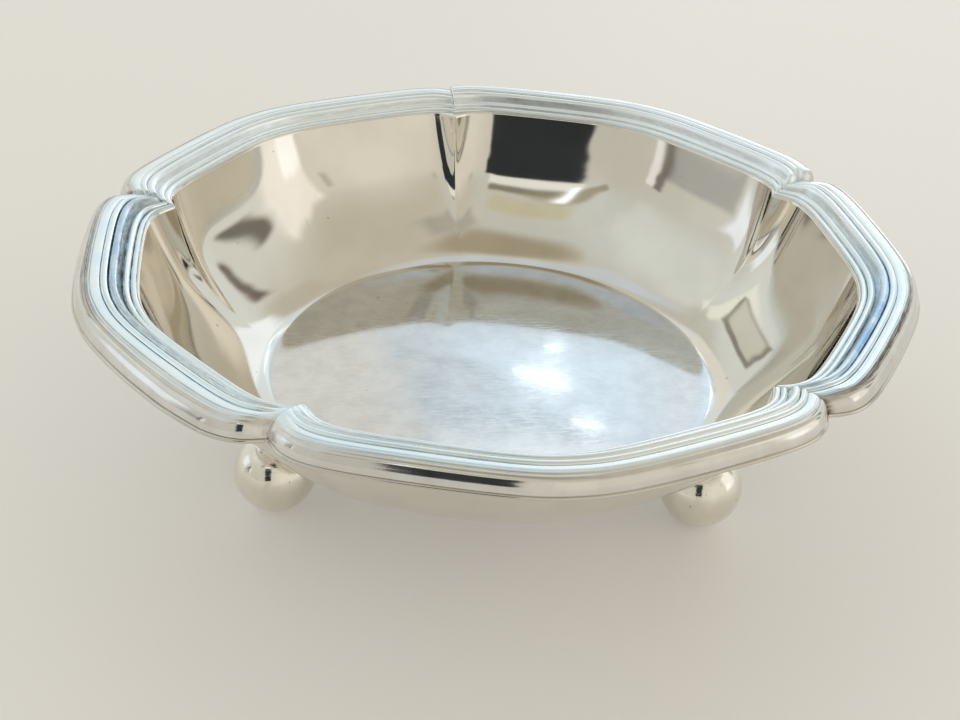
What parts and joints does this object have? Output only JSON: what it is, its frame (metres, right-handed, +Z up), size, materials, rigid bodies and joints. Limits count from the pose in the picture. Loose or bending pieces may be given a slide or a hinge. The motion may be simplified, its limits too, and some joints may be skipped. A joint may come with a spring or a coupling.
{
  "type": "salt cellar",
  "caption": "Small open salt dish in silver plate: a lobed round bowl with a notched, reeded border, standing on ball feet.",
  "frame": {"origin": "on the table under the centre of the bowl, level with the flats under the ball feet", "axes": "+Z up along the bowl's axis, +Y towards the rear notch, -Y towards the middle of the front lobe"},
  "size_m": [0.0768, 0.0776, 0.024],
  "materials": {
    "bowl_silver": "polished silver plate with a fine satin floor",
    "border_silver": "polished silver plate, tarnished in the grooves",
    "foot_silver": "polished silver plate",
    "solder": "dull silver solder"
  },
  "bodies": {
    "root": {"bowl": "bowl_silver", "border_front": "border_silver", "border_right": "border_silver", "border_back_right": "border_silver", "border_back_left": "border_silver", "border_left": "border_silver", "foot_front_left": "foot_silver", "foot_front_right": "foot_silver", "foot_rear": "foot_silver", "solder_front_left": "solder", "solder_front_right": "solder", "solder_rear": "solder"}
  },
  "joints": []
}
